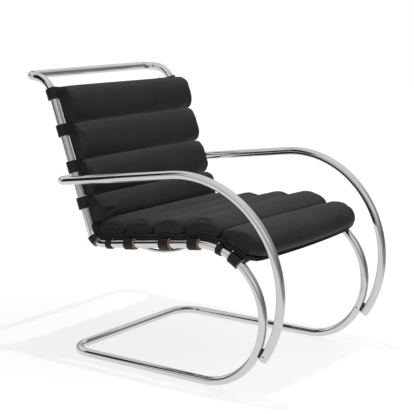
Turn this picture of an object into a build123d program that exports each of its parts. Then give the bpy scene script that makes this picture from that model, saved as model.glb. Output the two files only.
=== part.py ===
from build123d import *
import os
from math import asin, cos, degrees, radians, sin, sqrt

# Cantilever lounge chair: bent steel tube, two arm tubes, leather straps and a channelled cushion.
# Millimetres. X runs across the chair, the sitter faces -Y and Z is up from the floor. The origin
# is on the floor, on the centre plane, midway between the front of the arms and the top bar.

# ---------------------------------------------------------------- driving dimensions
tube_dia = 25.4             # every frame and arm tube
tube_wall = 2.0
half_width = 300.0          # centre plane to the middle of a side tube

floor_rear_y = 292.8        # middle of the rear floor bar
floor_corner_r = 76.0
floor_run = 496.4           # rear floor bar to the start of the front curve
front_curve_r = 196.4       # one arc from the floor to the seat
seat_slope = 7.4            # the seat rail falls towards the rear
seat_run = 334.6            # straight part of the seat rail
lower_bend_r = 48.0         # between the seat rail and the back post
back_recline = 20.2         # post, from the vertical
post_run = 424.4
top_bend_r = 72.0           # turns the post backwards
top_rise = 2.7              # the tube still climbs this much where the top corner starts
top_corner_r = 40.0

joint_angle = 21.5          # leg joint, below the level of the front curve's centre
sleeve_length = 64.0
sleeve_clearance = 0.1

arm_start_angle = 27.07     # the arm's lower end, below the level of the front curve's centre
arm_start_gap = 0.56        # between the surfaces of the leg and of the arm's lower end
arm_start_heading = 55.9    # from the level, forwards and up
arm_curve_turn = 132.1      # from the leg up to the straight arm rest
arm_hook_up_post = 170.2    # its hook is this far along the back post
arm_post_gap = 24.4         # between the surfaces of the back post and of the hook behind it
arm_side_gap = 1.0          # between the surfaces of the back post and of the arm that passes it
arm_splay_rise = 0.019      # the arm moves outwards this much per millimetre upwards
arm_hook_r = 30.0           # bend behind the back post
arm_hook_run = 24.0         # straight end of the hook

plug_flange = 1.5
plug_length = 30.0
hook_plug_length = 14.0
stud_dia = 6.0
stud_angle = 23.7           # below the level of the front curve's centre
stud_reach = 4.5            # past each tube's middle
set_screw_dia = 6.0
set_screw_length = 8.0
set_screw_socket = 3.0      # across flats
set_screw_sunk = 0.6        # below the top of the tube's surface
set_screw_tip_gap = 0.5
leg_screw_angle = 25.2
arm_screw_station = 15.4    # from the arm's lower end
spacer_half_width = 8.0
spacer_angles = (19.9, 26.6)
standoff_dia = 16.0
hook_bolt_dia = 6.0
hook_bolt_head_dia = 11.0
hook_bolt_head_height = 3.3
hook_bolt_reach = 7.0       # past the post's middle
screw_clearance = 0.1
seat_clearance = 0.05       # between a shaped seat and the tube it lies on
cut_past = 1.0              # a cut starts and ends this far outside what it cuts
shaping_length = 170.0      # of the leg that a shaped seat is cut with

spreader_dia = 10.0         # bowed rod under the seat
spreader_end_drop = 4.5     # its ends meet the rails this far below their middle
spreader_drop = 49.0        # from its ends to its level middle
spreader_flat = 80.0        # half of the level middle
spreader_gap = 2.5          # to the strap behind it

strap_thick = 5.0           # two plies
strap_wide = 36.0
corner_strap_wide = 26.0    # at the tube's middle line, where it fans out round the lower bend
strap_return = 25.0         # angle at which the folded end rises to the band
strap_lap = 46.0            # length of the folded end that lies against the band
tie_thick = 3.4
tie_wide = 18.0
tie_return = 35.0
tie_lap = 26.0
tie_anchor = 78.0           # from the side tube's middle to the end sewn under the cushion
leather_gap = 0.25          # leather to tube, and between two layers of leather
fold_bend_r = 12.0

rivet_shank = 4.0
rivet_head = 9.0
rivet_spacing = 16.0        # two side by side in each end of a wide strap
rivet_sunk = 0.9            # head let into the band, on the cushion side
rivet_proud = 1.4
rivet_gap = 0.2             # its heads stay this far in from the leather's faces
rivet_clearance = 0.05      # round its shank and sunk head

cushion_gap = 0.3           # soft pieces to anything they lie on
cushion_overhang = 5.0      # past the middle of the side tubes
backing_seat_thick = 15.0
backing_back_thick = 8.0
roll_inset = 4.0            # roll ends, in from the backing's edge
roll_gap = 0.4              # half of the gap between neighbouring rolls

# Stations are distances along a side tube's middle line, from the front end of the straight seat
# rail: negative on the front curve, then over the seat, the lower bend and the back post. A place
# is a mark and the distance past it: "seat" is the front end of the straight seat rail, "rail" its
# rear end, "bend" the middle of the lower bend, "post" the start of the back post and "top" its end.
# "arm" is the middle of a strap that touches the standoff of the arm's hook from above.
strap_places = {
    "front_edge": ("seat", -135.1), "seat_front": ("seat", 7.5), "seat_middle": ("seat", 107.9),
    "seat_rear": ("rail", -99.6), "corner": ("bend", 4.6), "back_lower": ("post", 86.6),
    "back_middle": ("arm", 1.9), "back_upper": ("post", 310.6), "back_top": ("top", -0.2),
}
tie_places = {"front": ("seat", -79.4), "rear": ("rail", -21.8)}
cushion_front = ("seat", -168.0)
cushion_fold = ("post", 17.2)
cushion_top = ("top", 8.8)
# (name, place where it ends, rise of the groove there, crown past the roll's middle, rise of the
# crown); the rises are over the layer that the rolls lie on
roll_front_rise = 3.5
rolls = (
    ("seat_roll_1", ("seat", -67.0), 12.5, 1.5, 32.5),
    ("seat_roll_2", ("seat", 44.0), 16.5, 1.5, 33.5),
    ("seat_roll_3", ("seat", 155.0), 16.5, -0.5, 35.5),
    ("seat_roll_4", ("rail", -77.6), 16.5, 0.0, 33.5),
    ("seat_roll_5", cushion_fold, 19.5, -40.7, 30.0),
    ("back_roll_1", ("post", 98.5), 10.5, 1.9, 31.5),
    ("back_roll_2", ("post", 208.5), 10.5, 0.2, 26.5),
    ("back_roll_3", ("post", 320.8), 14.5, 0.1, 28.5),
    ("back_roll_4", cushion_top, 7.5, 2.7, 36.5),
)

# ---------------------------------------------------------------- geometry of the side tube
tube_r = tube_dia / 2
bore_r = tube_r - tube_wall
UP = Vector(0, 0, 1)
FORWARD = Vector(0, -1, 0)
OUTWARD = Vector(-1, 0, 0)  # of the side that is modelled first, at -X

curve_centre = Vector(0, floor_rear_y - floor_run, tube_r + front_curve_r)
curve_top_angle = 90 + seat_slope       # measured at the curve's centre, from the front
seat_heading = Vector(0, cos(radians(seat_slope)), -sin(radians(seat_slope)))
seat_normal = Vector(0, sin(radians(seat_slope)), cos(radians(seat_slope)))
post_heading = Vector(0, sin(radians(back_recline)), cos(radians(back_recline)))
post_normal = Vector(0, -cos(radians(back_recline)), sin(radians(back_recline)))
seat_start = curve_centre + seat_normal * front_curve_r
bend_centre = seat_start + seat_heading * seat_run + seat_normal * lower_bend_r
bend_angle = 90 - back_recline + seat_slope
post_station = seat_run + radians(bend_angle) * lower_bend_r
post_start = bend_centre - post_normal * lower_bend_r
top_station = post_station + post_run
arm_station = post_station + arm_hook_up_post
marks = {"seat": 0.0, "rail": seat_run, "bend": (seat_run + post_station) / 2, "post": post_station,
         "arm": arm_station + (standoff_dia + strap_wide) / 2, "top": top_station}
top_centre = post_start + post_heading * post_run - post_normal * top_bend_r


def station_of(place):
    """Station of a place, which is a mark and the distance past it."""
    mark, past = place
    return marks[mark] + past


def curve_direction(angle):
    """Unit vector from the front curve's centre, at an angle below the level."""
    return FORWARD * cos(radians(angle)) - UP * sin(radians(angle))


def rail_normal(station):
    """Direction towards the sitter, square to the side tube."""
    if station < 0:
        return curve_direction(-(curve_top_angle + degrees(station / front_curve_r)))
    if station <= seat_run:
        return seat_normal
    if station < post_station:
        angle = (station - seat_run) / lower_bend_r
        return seat_normal * cos(angle) - seat_heading * sin(angle)
    if station <= top_station:
        return post_normal
    angle = (station - top_station) / top_bend_r
    return post_normal * cos(angle) + post_heading * sin(angle)


def rail_point(station, height=0.0):
    """Point on the centre plane, at a station and a height over the side tube's middle line."""
    normal = rail_normal(station)
    if station < 0:
        return curve_centre + normal * (front_curve_r + height)
    if station <= seat_run:
        return seat_start + seat_heading * station + normal * height
    if station < post_station:
        return bend_centre - normal * (lower_bend_r - height)
    if station <= top_station:
        return post_start + post_heading * (station - post_station) + normal * height
    return top_centre + normal * (top_bend_r + height)


def rail_plane(station):
    """Cross section of the chair: local X across it and local Y towards the sitter."""
    return Plane(origin=rail_point(station), x_dir=(1, 0, 0),
                 z_dir=Vector(1, 0, 0).cross(rail_normal(station)))


def stretches(first, last):
    """The straight and the round stretches between two stations: start, end and the round
    stretch's centre and bend radius, which is negative where the tube bends towards the sitter."""
    bends = (0.0, seat_run, post_station, top_station)
    stops = [first] + [s for s in bends if first < s < last] + [last]
    for a, b in zip(stops, stops[1:]):
        if a < 0:
            yield a, b, curve_centre, front_curve_r
        elif seat_run <= a < post_station:
            yield a, b, bend_centre, -lower_bend_r
        elif a >= top_station:
            yield a, b, top_centre, top_bend_r
        else:
            yield a, b, None, None


def rail_follow(first, last, height):
    """Lines and arcs along the side tube, on the centre plane, at a constant height over it."""
    for a, b, centre, _ in stretches(first, last):
        start, middle, end = [rail_point(s, height) for s in (a, (a + b) / 2, b)]
        if centre is None:
            Line(start, end)
        else:
            ThreePointArc(start, middle, end)


def turn(point, heading, toward, radius, angle):
    """A tangent arc: its middle, its end, and the heading and inward direction at the end."""
    def at(a):
        return point + heading * (radius * sin(a)) + toward * (radius * (1 - cos(a)))
    a = radians(angle)
    return at(a / 2), at(a), heading * cos(a) + toward * sin(a), toward * cos(a) - heading * sin(a)


def save(part, name):
    part.label = name
    os.makedirs("parts", exist_ok=True)
    export_step(part, f"parts/{name}.step")
    print(f"{name}: {len(part.solids())} solid(s), {part.volume / 1000:.1f} cm3")


# ---------------------------------------------------------------- frame tubes
side_x = Vector(-half_width, 0, 0)
joint_point = side_x + curve_centre + curve_direction(joint_angle) * front_curve_r
joint_heading = curve_direction(joint_angle - 90)       # up and along the front curve


def tube_section(point, heading, outer=tube_r, inner=bore_r):
    """Ring, or disc where inner is 0, square to a tube at its end."""
    with BuildSketch(Plane(origin=point, z_dir=heading)) as section:
        Circle(outer)
        if inner:
            Circle(inner, mode=Mode.SUBTRACT)
    return section.sketch


def base_path():
    """From the left leg joint down, round the floor frame and up to the right joint."""
    curve_foot = side_x + curve_centre - UP * front_curve_r
    corner = Vector(-half_width, floor_rear_y - floor_corner_r, tube_r)
    middle, corner_end, _, _ = turn(corner, -FORWARD, -OUTWARD, floor_corner_r, 90)
    arc_middle = side_x + curve_centre + curve_direction((joint_angle + 90) / 2) * front_curve_r
    with BuildLine() as path:
        ThreePointArc(joint_point, arc_middle, curve_foot)
        Line(curve_foot, corner)
        ThreePointArc(corner, middle, corner_end)
        Line(corner_end, (0, corner_end.Y, corner_end.Z))
        mirror(about=Plane.YZ)
    return path


def upper_path():
    """From the left joint up over the seat and back, across the top and down to the right joint."""
    arc_middle = side_x + curve_centre + curve_direction((joint_angle - curve_top_angle) / 2) * front_curve_r
    bend_middle = side_x + rail_point((seat_run + post_station) / 2)
    post_end = side_x + rail_point(top_station)
    top_middle, top_end, heading, _ = turn(
        post_end, post_heading, -post_normal, top_bend_r, 90 - back_recline - top_rise)
    corner_middle, corner_end, _, _ = turn(top_end, heading, -OUTWARD, top_corner_r, 90)
    with BuildLine() as path:
        ThreePointArc(joint_point, arc_middle, side_x + seat_start)
        Line(side_x + seat_start, side_x + rail_point(seat_run))
        ThreePointArc(side_x + rail_point(seat_run), bend_middle, side_x + post_start)
        Line(side_x + post_start, post_end)
        ThreePointArc(post_end, top_middle, top_end)
        ThreePointArc(top_end, corner_middle, corner_end)
        Line(corner_end, (0, corner_end.Y, corner_end.Z))
        mirror(about=Plane.YZ)
    return path


# ---------------------------------------------------------------- arm tube, left side
arm_start = side_x + curve_centre + curve_direction(arm_start_angle) * (
    front_curve_r + tube_dia + arm_start_gap)


def starting(forward, up):
    """The arm's heading at its lower end and the inward direction there."""
    a = radians(arm_start_heading)
    return forward * cos(a) + up * sin(a), up * cos(a) - forward * sin(a)


# in the side view, the curve and the straight rest reach from the leg to behind the back post
side_reach = side_x + rail_point(arm_station, -(tube_dia + arm_post_gap)) - arm_start
_, unit_curve, side_rest, side_inward = turn(
    Vector(0, 0, 0), *starting(FORWARD, UP), 1.0, arm_curve_turn)
arm_curve_r = side_reach.dot(side_inward) / unit_curve.dot(side_inward)
arm_top_run = (side_reach - unit_curve * arm_curve_r).dot(side_rest) - arm_hook_r

# the arm is splayed, because it passes beside the back post
to_post = side_x + rail_point(arm_station) - arm_start
arm_splay_run = (tube_dia + arm_side_gap - arm_splay_rise * to_post.Z) / to_post.Y
arm_x_dir = Vector(arm_splay_run, -1, 0).normalized()
arm_y_dir = Vector(-arm_splay_rise, 0, 1)
arm_y_dir = (arm_y_dir - arm_x_dir * arm_y_dir.dot(arm_x_dir)).normalized()
arm_heading, arm_toward = starting(arm_x_dir, arm_y_dir)


def arm_at(length):
    """Point and heading on the arm's curve, at a length from its lower end."""
    _, point, heading, toward = turn(
        arm_start, arm_heading, arm_toward, arm_curve_r, degrees(length / arm_curve_r))
    return point, heading


curve_mid, curve_end, rest_heading, _ = turn(
    arm_start, arm_heading, arm_toward, arm_curve_r, arm_curve_turn)
rest_end = curve_end + rest_heading * arm_top_run
hook_toward = -OUTWARD
hook_toward = (hook_toward - rest_heading * hook_toward.dot(rest_heading)).normalized()
hook_mid, hook_start, hook_heading, _ = turn(rest_end, rest_heading, hook_toward, arm_hook_r, 90)
hook_end = hook_start + hook_heading * arm_hook_run


def arm_path(first, last):
    """The arm's middle line, less the flange of the plug at each end."""
    start, _ = arm_at(first)
    end = hook_end - hook_heading * last
    with BuildLine() as path:
        ThreePointArc(start, curve_mid, curve_end)
        Line(curve_end, rest_end)
        ThreePointArc(rest_end, hook_mid, hook_start)
        Line(hook_start, end)
    return path


def arm_rod(radius):
    """Solid rod along the whole arm, to shape what is seated on it."""
    with BuildPart() as rod:
        add(tube_section(arm_start, arm_heading, radius, 0))
        sweep(path=arm_path(0, 0).wires()[0])
    return rod.part


def leg_rod(radius, length=shaping_length):
    """Solid rod along the front curve on both sides of the leg joint."""
    half = degrees(length / 2 / front_curve_r)
    points = [side_x + curve_centre + curve_direction(joint_angle + a) * front_curve_r
              for a in (half, 0, -half)]
    with BuildPart() as rod:
        with BuildLine() as path:
            ThreePointArc(*points)
        add(tube_section(points[0], curve_direction(joint_angle + half - 90), radius, 0))
        sweep(path=path.wires()[0])
    return rod.part


def rod_between(first, last, diameter):
    """Straight round rod from one point to another."""
    axis = last - first
    with BuildPart() as rod:
        with BuildSketch(Plane(origin=first, z_dir=axis)):
            Circle(diameter / 2)
        extrude(amount=axis.length)
    return rod.part


# stud through the spacer, from inside the leg to inside the arm
stud_dir = curve_direction(stud_angle)
stud_leg = side_x + curve_centre + stud_dir * front_curve_r
arm_centre = arm_start + arm_toward * arm_curve_r
to_centre = arm_centre - stud_leg
stud_arm_gap = to_centre.dot(stud_dir) + sqrt(
    to_centre.dot(stud_dir) ** 2 - to_centre.dot(to_centre) + arm_curve_r ** 2)
stud_first = stud_leg - stud_dir * stud_reach
stud_last = stud_leg + stud_dir * (stud_arm_gap + stud_reach)
stud_hole = rod_between(stud_first - stud_dir * cut_past, stud_last + stud_dir * cut_past,
                        stud_dia + 2 * screw_clearance)

# set screws: inboard on the leg, outboard on the arm
leg_screw_axis = side_x + curve_centre + curve_direction(leg_screw_angle) * front_curve_r
leg_screw_outer = leg_screw_axis - OUTWARD * (tube_r - set_screw_sunk)
arm_screw_axis, _ = arm_at(arm_screw_station)
arm_screw_outer = arm_screw_axis + OUTWARD * (tube_r - set_screw_sunk)

# bolt through the hook and its standoff into the back post
hook_station = post_station + (hook_start - side_x - post_start).dot(post_heading)
hook_on_post = side_x + rail_point(hook_station)
hook_offset = -(hook_start - hook_on_post).dot(post_normal)
hook_face = hook_on_post - post_normal * (hook_offset + tube_r + seat_clearance)
hook_bolt_hole = rod_between(
    hook_on_post + post_normal * (hook_bolt_reach + cut_past), hook_face - post_normal * cut_past,
    hook_bolt_dia + 2 * screw_clearance)


def screw_hole(outer, direction):
    """Hole for a set screw, from outside the tube to just past the screw's tip."""
    return rod_between(outer - direction * (set_screw_sunk + cut_past),
                       outer + direction * (set_screw_length + set_screw_tip_gap),
                       set_screw_dia + 2 * screw_clearance)


leg_screw_hole = screw_hole(leg_screw_outer, OUTWARD)
arm_screw_hole = screw_hole(arm_screw_outer, -OUTWARD)


def pair(left):
    """A piece and its mirror image on the other side of the chair."""
    with BuildPart() as both:
        add(left)
        mirror(about=Plane.YZ)
    return both.part


with BuildPart() as base_frame_tube:
    add(tube_section(joint_point, -joint_heading))
    sweep(path=base_path().wires()[0])
    add(pair(stud_hole), mode=Mode.SUBTRACT)
    add(pair(leg_screw_hole), mode=Mode.SUBTRACT)
save(base_frame_tube.part, "base_frame_tube")

with BuildPart() as upper_frame_tube:
    add(tube_section(joint_point, joint_heading))
    sweep(path=upper_path().wires()[0])
    add(pair(hook_bolt_hole), mode=Mode.SUBTRACT)
save(upper_frame_tube.part, "upper_frame_tube")

with BuildPart() as arm_tube:
    start, heading = arm_at(plug_flange)
    add(tube_section(start, heading))
    sweep(path=arm_path(plug_flange, plug_flange).wires()[0])
    add(stud_hole, mode=Mode.SUBTRACT)
    add(arm_screw_hole, mode=Mode.SUBTRACT)
    add(hook_bolt_hole, mode=Mode.SUBTRACT)
save(arm_tube.part, "arm_tube_left")
save(mirror(arm_tube.part, about=Plane.YZ), "arm_tube_right")

# ---------------------------------------------------------------- joints of the frame
insert_r = bore_r - sleeve_clearance

with BuildPart() as leg_joint_sleeves:
    add(leg_rod(insert_r, sleeve_length))
    add(leg_rod(insert_r - tube_wall, sleeve_length + 2 * cut_past), mode=Mode.SUBTRACT)
    add(stud_hole, mode=Mode.SUBTRACT)
    add(leg_screw_hole, mode=Mode.SUBTRACT)
    mirror(about=Plane.YZ)
save(leg_joint_sleeves.part, "leg_joint_sleeves")


def set_screw(outer, direction):
    """Socket set screw, its outer face at a point and its tip along a direction."""
    with BuildPart() as screw:
        with BuildSketch(Plane(origin=outer, z_dir=direction)):
            Circle(set_screw_dia / 2)
        extrude(amount=set_screw_length)
        with BuildSketch(Plane(origin=outer, z_dir=direction)):
            RegularPolygon(set_screw_socket / 2, 6, major_radius=False)
        extrude(amount=set_screw_length / 2, mode=Mode.SUBTRACT)
    return screw.part


save(pair(set_screw(leg_screw_outer, OUTWARD)), "leg_joint_screws")
save(pair(set_screw(arm_screw_outer, -OUTWARD)), "arm_front_screws")
save(pair(rod_between(stud_first, stud_last, stud_dia)), "arm_front_studs")

with BuildPart() as arm_front_plugs:
    inner, inner_heading = arm_at(plug_flange)
    middle, _ = arm_at(plug_flange + plug_length / 2)
    end, _ = arm_at(plug_flange + plug_length)
    add(rod_between(inner, inner - inner_heading * plug_flange, tube_dia))
    with BuildLine() as plug_path:
        ThreePointArc(inner, middle, end)
    add(tube_section(inner, inner_heading, insert_r, 0))
    sweep(path=plug_path.wires()[0])
    add(stud_hole, mode=Mode.SUBTRACT)
    add(arm_screw_hole, mode=Mode.SUBTRACT)
    mirror(about=Plane.YZ)
save(arm_front_plugs.part, "arm_front_plugs")

with BuildPart() as arm_rear_plugs:
    flange_face = hook_end - hook_heading * plug_flange
    add(rod_between(flange_face, hook_end, tube_dia))
    add(rod_between(flange_face - hook_heading * hook_plug_length, flange_face, 2 * insert_r))
    mirror(about=Plane.YZ)
save(arm_rear_plugs.part, "arm_rear_plugs")

with BuildPart() as arm_front_spacers:
    with BuildSketch(Plane(origin=side_x, x_dir=(0, 1, 0), z_dir=(1, 0, 0))):
        with BuildLine():
            corners = []
            for angle in spacer_angles:
                out = curve_direction(angle)
                near = curve_centre + out * front_curve_r
                far = near + out * 2 * tube_r
                corners += [(near.Y, near.Z), (far.Y, far.Z)]
            Polyline(corners[0], corners[1], corners[3], corners[2], close=True)
        make_face()
    extrude(amount=spacer_half_width, both=True)
    add(leg_rod(tube_r + seat_clearance), mode=Mode.SUBTRACT)
    add(arm_rod(tube_r + seat_clearance), mode=Mode.SUBTRACT)
    add(stud_hole, mode=Mode.SUBTRACT)
    mirror(about=Plane.YZ)
save(arm_front_spacers.part, "arm_front_spacers")

with BuildPart() as arm_rear_spacers:
    add(rod_between(hook_on_post, hook_on_post - post_normal * hook_offset, standoff_dia))
    add(rod_between(hook_on_post - post_heading * standoff_dia, hook_on_post + post_heading * standoff_dia,
                    tube_dia + 2 * seat_clearance), mode=Mode.SUBTRACT)
    add(arm_rod(tube_r + seat_clearance), mode=Mode.SUBTRACT)
    add(hook_bolt_hole, mode=Mode.SUBTRACT)
    mirror(about=Plane.YZ)
save(arm_rear_spacers.part, "arm_rear_spacers")

with BuildPart() as arm_rear_bolts:
    add(rod_between(hook_on_post + post_normal * hook_bolt_reach, hook_face, hook_bolt_dia))
    add(rod_between(hook_face, hook_face - post_normal * hook_bolt_head_height, hook_bolt_head_dia))
    mirror(about=Plane.YZ)
save(arm_rear_bolts.part, "arm_rear_bolts")

# bowed rod between the seat rails, its ends shaped to them, just in front of a strap
spreader_station = station_of(strap_places["seat_rear"]) - (strap_wide + spreader_dia) / 2 - spreader_gap
with BuildPart() as seat_spreader_bar:
    spreader_end = rail_point(spreader_station) - UP * spreader_end_drop
    level = spreader_end.Z - spreader_drop
    reach = half_width - spreader_flat
    spreader_bend_r = (reach ** 2 + spreader_drop ** 2) / (2 * spreader_drop)
    bend_turn = asin(reach / spreader_bend_r)
    flat_end = Vector(-spreader_flat, spreader_end.Y, level)
    bend_mid = flat_end + OUTWARD * (spreader_bend_r * sin(bend_turn / 2)) \
        + UP * (spreader_bend_r * (1 - cos(bend_turn / 2)))
    with BuildLine() as spreader_path:
        ThreePointArc((-half_width, spreader_end.Y, spreader_end.Z), bend_mid, flat_end)
        Line(flat_end, (0, spreader_end.Y, level))
        mirror(about=Plane.YZ)
    end_heading = OUTWARD * -cos(bend_turn) - UP * sin(bend_turn)
    add(tube_section(spreader_end + side_x, end_heading, spreader_dia / 2, 0))
    sweep(path=spreader_path.wires()[0])
    rail_rod = rod_between(side_x + rail_point(spreader_station - 3 * spreader_dia),
                           side_x + rail_point(spreader_station + 3 * spreader_dia),
                           tube_dia + 2 * seat_clearance)
    add(pair(rail_rod), mode=Mode.SUBTRACT)
save(seat_spreader_bar.part, "seat_spreader_bar")

# ---------------------------------------------------------------- straps
wrap_r = tube_r + leather_gap           # inside of a loop round the tube


class Fold:
    """Cross section of a leather loop round the left side tube, at X and a height over it."""

    def __init__(self, thick, angle, lap, inner_x):
        self.thick, self.lap, self.inner_x = thick, lap, inner_x
        self.mid_r = wrap_r + thick / 2
        self.angle = radians(angle)
        self.lap_height = self.mid_r - thick - leather_gap
        bend_rise = fold_bend_r * (1 - cos(self.angle))
        rise = (self.lap_height + self.mid_r * cos(self.angle) - bend_rise) / sin(self.angle)
        self.off_tube = (self.mid_r * sin(self.angle) - half_width, -self.mid_r * cos(self.angle))
        self.bend = (self.off_tube[0] + rise * cos(self.angle), self.lap_height - bend_rise)
        self.neck = self.mid_r + thick / 2 - rivet_sunk
        self.under = self.lap_height - thick / 2 - rivet_gap
        self.lap_start = self.bend[0] + fold_bend_r * sin(self.angle)
        self.lap_middle = self.lap_start + lap / 2

    def middle_line(self):
        """The middle of the leather, from its inner end round the tube to the folded end."""
        outboard = (-half_width - self.mid_r, 0)
        low = (self.mid_r * sin(self.angle / 2) - half_width, -self.mid_r * cos(self.angle / 2))
        bend_mid = (self.bend[0] + fold_bend_r * (sin(self.angle) - sin(self.angle / 2)),
                    self.lap_height - fold_bend_r * (1 - cos(self.angle / 2)))
        with BuildLine() as line:
            Line((self.inner_x, self.mid_r), (-half_width, self.mid_r))
            ThreePointArc((-half_width, self.mid_r), outboard, (-half_width, -self.mid_r))
            ThreePointArc((-half_width, -self.mid_r), low, self.off_tube)
            Line(self.off_tube, self.bend)
            ThreePointArc(self.bend, bend_mid, (self.lap_start, self.lap_height))
            Line((self.lap_start, self.lap_height), (self.lap_start + self.lap, self.lap_height))
        return line.edges()

    def on_axis(self, station, first, last, diameter):
        """Round rod through the folded end's middle, between two heights over the side tube."""
        x = Vector(self.lap_middle, 0, 0)
        return rod_between(x + rail_point(station, first), x + rail_point(station, last), diameter)

    def rivet(self, station):
        """Two-headed rivet through the band and the folded end."""
        with BuildPart() as rivet:
            add(self.on_axis(station, self.neck, self.neck + rivet_sunk - rivet_gap, rivet_head))
            add(self.on_axis(station, self.under, self.neck, rivet_shank))
            add(self.on_axis(station, self.under - rivet_proud, self.under, rivet_head))
        return rivet.part

    def rivet_hole(self, station):
        with BuildPart() as hole:
            floor = self.neck - rivet_clearance
            add(self.on_axis(station, floor, self.neck + self.thick, rivet_head + 2 * rivet_clearance))
            add(self.on_axis(station, self.under, floor, rivet_shank + 2 * rivet_clearance))
        return hole.part


wide_fold = Fold(strap_thick, strap_return, strap_lap, 0.0)
tie_fold = Fold(tie_thick, tie_return, tie_lap, tie_anchor - half_width)


def leather_loop(fold, station, width, rivet_stations, mirrored=False):
    """A strap of one width along the side tube, with its rivet holes."""
    with BuildPart() as loop:
        for a, b, centre, bend_r in stretches(station - width / 2, station + width / 2):
            with BuildSketch(rail_plane(a)):
                trace(fold.middle_line(), line_width=fold.thick)
            if centre is None:
                extrude(amount=a - b)
            else:
                revolve(axis=Axis(centre, (1, 0, 0)), revolution_arc=-degrees((b - a) / bend_r))
        for rivet_station in rivet_stations:
            add(fold.rivet_hole(rivet_station), mode=Mode.SUBTRACT)
        if mirrored:
            mirror(about=Plane.YZ)
    return loop.part


strap_rivets = []
for name, place in strap_places.items():
    station = station_of(place)
    width, places = strap_wide, (station - rivet_spacing / 2, station + rivet_spacing / 2)
    if name == "corner":
        width, places = corner_strap_wide, (station,)
    save(leather_loop(wide_fold, station, width, places, mirrored=True), f"strap_{name}")
    strap_rivets += [wide_fold.rivet(s) for s in places]

tie_rivets = []
for name, place in tie_places.items():
    station = station_of(place)
    tie = leather_loop(tie_fold, station, tie_wide, (station,))
    save(tie, f"tie_{name}_left")
    save(mirror(tie, about=Plane.YZ), f"tie_{name}_right")
    tie_rivets.append(tie_fold.rivet(station))

for rivets, name in ((strap_rivets, "strap_rivets"), (tie_rivets, "tie_rivets")):
    with BuildPart() as group:
        for rivet in rivets:
            add(rivet)
        mirror(about=Plane.YZ)
    save(group.part, name)

# ---------------------------------------------------------------- cushion
backing_height = wrap_r + strap_thick + cushion_gap
cushion_half = half_width + cushion_overhang
front_station, fold_station, cushion_end = [
    station_of(place) for place in (cushion_front, cushion_fold, cushion_top)]


def panel(outline, half):
    """Solid with an outline in the YZ plane, as wide on both sides of the centre plane."""
    face = make_face(outline.edges())
    with BuildPart() as solid:
        extrude(face, amount=half, both=True)
    return solid.part


def backing(first, last, thick):
    """Flat layer that lies on the straps."""
    with BuildLine() as outline:
        rail_follow(first, last, backing_height)
        rail_follow(first, last, backing_height + thick)
        for station in (first, last):
            Line(rail_point(station, backing_height), rail_point(station, backing_height + thick))
    return panel(outline, cushion_half)


def cushion_roll(first, last, base, start_height, end_height, crown):
    """One stuffed channel: a base that follows the backing and a round top through its crown."""
    with BuildLine() as outline:
        rail_follow(first, last, base)
        Line(rail_point(first, base), rail_point(first, start_height))
        ThreePointArc(rail_point(first, start_height), rail_point(*crown), rail_point(last, end_height))
        Line(rail_point(last, end_height), rail_point(last, base))
    return panel(outline, cushion_half - roll_inset)


save(backing(front_station, fold_station - roll_gap, backing_seat_thick), "seat_backing")
save(backing(fold_station + roll_gap, cushion_end, backing_back_thick), "back_backing")

first, start_height = front_station, None
for name, place, groove_rise, crown_past, crown_rise in rolls:
    thick = backing_seat_thick if name.startswith("seat") else backing_back_thick
    base = backing_height + thick + cushion_gap
    last, end_height = station_of(place), base + groove_rise
    crown = ((first + last) / 2 + crown_past, base + crown_rise)
    save(cushion_roll(first + roll_gap, last - roll_gap, base,
                      start_height or base + roll_front_rise, end_height, crown), name)
    first, start_height = last, end_height
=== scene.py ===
from math import cos, pi, radians, sin

import bpy
import numpy as np
from mathutils import Matrix, Vector


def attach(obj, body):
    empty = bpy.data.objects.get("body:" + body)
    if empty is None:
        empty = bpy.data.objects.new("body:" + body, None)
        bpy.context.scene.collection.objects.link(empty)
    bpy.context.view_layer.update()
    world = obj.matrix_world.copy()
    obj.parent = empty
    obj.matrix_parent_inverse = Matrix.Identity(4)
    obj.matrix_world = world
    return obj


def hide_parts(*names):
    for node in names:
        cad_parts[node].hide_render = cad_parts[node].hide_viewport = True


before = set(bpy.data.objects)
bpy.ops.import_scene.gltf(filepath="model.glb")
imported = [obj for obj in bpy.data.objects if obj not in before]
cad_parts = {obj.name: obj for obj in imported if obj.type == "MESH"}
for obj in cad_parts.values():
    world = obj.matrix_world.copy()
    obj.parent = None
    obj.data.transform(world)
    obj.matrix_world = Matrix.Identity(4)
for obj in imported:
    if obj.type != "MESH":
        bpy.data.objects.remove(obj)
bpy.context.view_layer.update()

# Looks of the cantilever lounge chair. Blender works in metres. The lengths of leather and cushion
# are in millimetres here, as in the CAD, and become metres when a mesh is made.

MM = 0.001

# ---------------------------------------------------------------- the side tube, as in the CAD
CURVE_R = 196.4 * MM                    # front curve, floor to seat
SEAT_SLOPE = radians(7.4)
SEAT_RUN = 334.6 * MM
BEND_R = 48.0 * MM                      # between seat and back
RECLINE = radians(20.2)
POST_RUN = 424.4 * MM
TOP_R = 72.0 * MM                       # turns the post backwards
CURVE_CENTRE = np.array([-203.6, 209.1]) * MM          # Y, Z

SEAT_ALONG = np.array([cos(SEAT_SLOPE), -sin(SEAT_SLOPE)])
SEAT_UP = np.array([sin(SEAT_SLOPE), cos(SEAT_SLOPE)])
POST_ALONG = np.array([sin(RECLINE), cos(RECLINE)])
POST_UP = np.array([-cos(RECLINE), sin(RECLINE)])
SEAT_START = CURVE_CENTRE + SEAT_UP * CURVE_R
BEND_CENTRE = SEAT_START + SEAT_ALONG * SEAT_RUN + SEAT_UP * BEND_R
POST_STATION = SEAT_RUN + (pi / 2 - RECLINE + SEAT_SLOPE) * BEND_R
POST_START = BEND_CENTRE - POST_UP * BEND_R
TOP_STATION = POST_STATION + POST_RUN
TOP_CENTRE = POST_START + POST_ALONG * POST_RUN - POST_UP * TOP_R


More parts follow.
